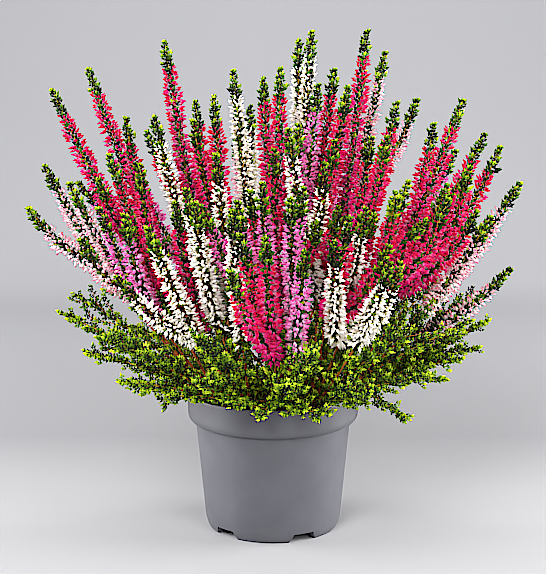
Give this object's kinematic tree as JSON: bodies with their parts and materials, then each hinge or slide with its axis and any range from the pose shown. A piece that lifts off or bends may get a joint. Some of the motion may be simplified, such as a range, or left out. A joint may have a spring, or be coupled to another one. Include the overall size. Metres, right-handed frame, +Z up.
{
  "type": "potted heather",
  "caption": "Bushy heather with upright spikes of crimson, pink, white and pale florets over a leafy skirt, in a tapered grey nursery pot of compost.",
  "frame": {"origin": "centre of the pot's foot plane, under the middle of the plant", "axes": "+Z up; -Y towards the side that the picture shows; +X to the right in the picture"},
  "size_m": [0.3388, 0.3008, 0.3471],
  "materials": {
    "pot_plastic": "satin",
    "compost": "matte",
    "heather_green": "matte",
    "flower_crimson": "matte",
    "flower_pink": "matte",
    "flower_white": "matte",
    "flower_pale": "matte"
  },
  "bodies": {
    "root": {"compost": "compost", "crown_back": "heather_green", "crown_centre": "heather_green", "crown_left_back": "heather_green", "crown_left_front": "heather_green", "crown_left_pale": "heather_green", "crown_pink_front": "heather_green", "crown_right": "heather_green", "crown_right_pale": "heather_green", "crown_white_back": "heather_green", "crown_white_left": "heather_green", "crown_white_right": "heather_green", "pot": "pot_plastic", "spray_back_1": "flower_pale", "spray_back_2": "flower_pink", "spray_back_3": "flower_pink", "spray_back_4": "flower_pale", "spray_back_5": "flower_pink", "spray_back_6": "flower_crimson", "spray_back_7": "flower_pink", "spray_centre_1": "flower_crimson", "spray_centre_2": "flower_crimson", "spray_centre_3": "flower_pink", "spray_centre_4": "flower_crimson", "spray_centre_5": "flower_crimson", "spray_left_back_1": "flower_crimson", "spray_left_back_2": "flower_crimson", "spray_left_back_3": "flower_crimson", "spray_left_back_4": "flower_crimson", "spray_left_back_5": "flower_crimson", "spray_left_front_1": "flower_crimson", "spray_left_front_2": "flower_pink", "spray_left_front_3": "flower_crimson", "spray_left_pale_1": "flower_pale", "spray_left_pale_2": "flower_pale", "spray_pink_front_1": "flower_pink", "spray_pink_front_2": "flower_pink", "spray_pink_front_3": "flower_crimson", "spray_pink_front_4": "flower_pink", "spray_right_1": "flower_crimson", "spray_right_2": "flower_crimson", "spray_right_3": "flower_crimson", "spray_right_4": "flower_crimson", "spray_right_5": "flower_crimson", "spray_right_6": "flower_crimson", "spray_right_7": "flower_crimson", "spray_right_8": "flower_crimson", "spray_right_pale_1": "flower_pale", "spray_right_pale_2": "flower_pale", "spray_right_pale_3": "flower_pale", "spray_white_back_1": "flower_white", "spray_white_back_2": "flower_white", "spray_white_left_1": "flower_white", "spray_white_left_2": "flower_white", "spray_white_left_3": "flower_white", "spray_white_left_4": "flower_white", "spray_white_left_5": "flower_white", "spray_white_right_1": "flower_white", "spray_white_right_2": "flower_white", "spray_white_right_3": "flower_white"}
  },
  "joints": []
}
